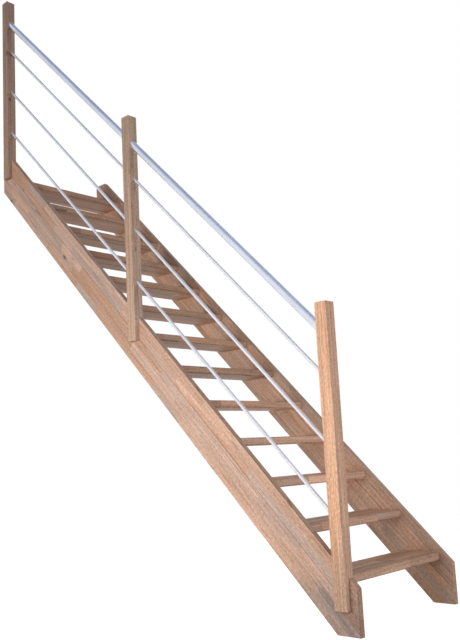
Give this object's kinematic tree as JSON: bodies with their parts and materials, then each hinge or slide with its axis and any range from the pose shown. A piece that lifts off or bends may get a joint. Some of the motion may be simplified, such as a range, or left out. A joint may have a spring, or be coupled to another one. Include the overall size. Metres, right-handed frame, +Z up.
{
  "type": "straight open-riser wooden staircase",
  "caption": "Straight open-riser staircase of laminated wood: treads housed in two strings, with lapped posts, a tube handrail and metal rods on the left side.",
  "frame": {"origin": "centre of the left string's level seat cut, on the lower floor", "axes": "+Z up, the flight climbs along +Y, +X to a climber's right; the railing is over the left string"},
  "size_m": [0.828, 2.6381, 3.8784],
  "materials": {
    "string_wood": "finger-jointed laminated hardwood, clear matt oil",
    "tread_wood": "finger-jointed laminated hardwood, clear matt oil",
    "post_wood": "finger-jointed laminated hardwood, clear matt oil",
    "handrail_metal": "fine brushed, satin",
    "rod_metal": "fine brushed, satin"
  },
  "bodies": {
    "root": {"left_string": "string_wood", "right_string": "string_wood", "tread_01": "tread_wood", "tread_02": "tread_wood", "tread_03": "tread_wood", "tread_04": "tread_wood", "tread_05": "tread_wood", "tread_06": "tread_wood", "tread_07": "tread_wood", "tread_08": "tread_wood", "tread_09": "tread_wood", "tread_10": "tread_wood", "tread_11": "tread_wood", "tread_12": "tread_wood", "tread_13": "tread_wood", "post_bottom": "post_wood", "post_middle": "post_wood", "post_top": "post_wood", "handrail_lower": "handrail_metal", "handrail_upper": "handrail_metal", "rod_lower_1": "rod_metal", "rod_lower_2": "rod_metal", "rod_lower_3": "rod_metal", "rod_upper_1": "rod_metal", "rod_upper_2": "rod_metal", "rod_upper_3": "rod_metal"}
  },
  "joints": []
}
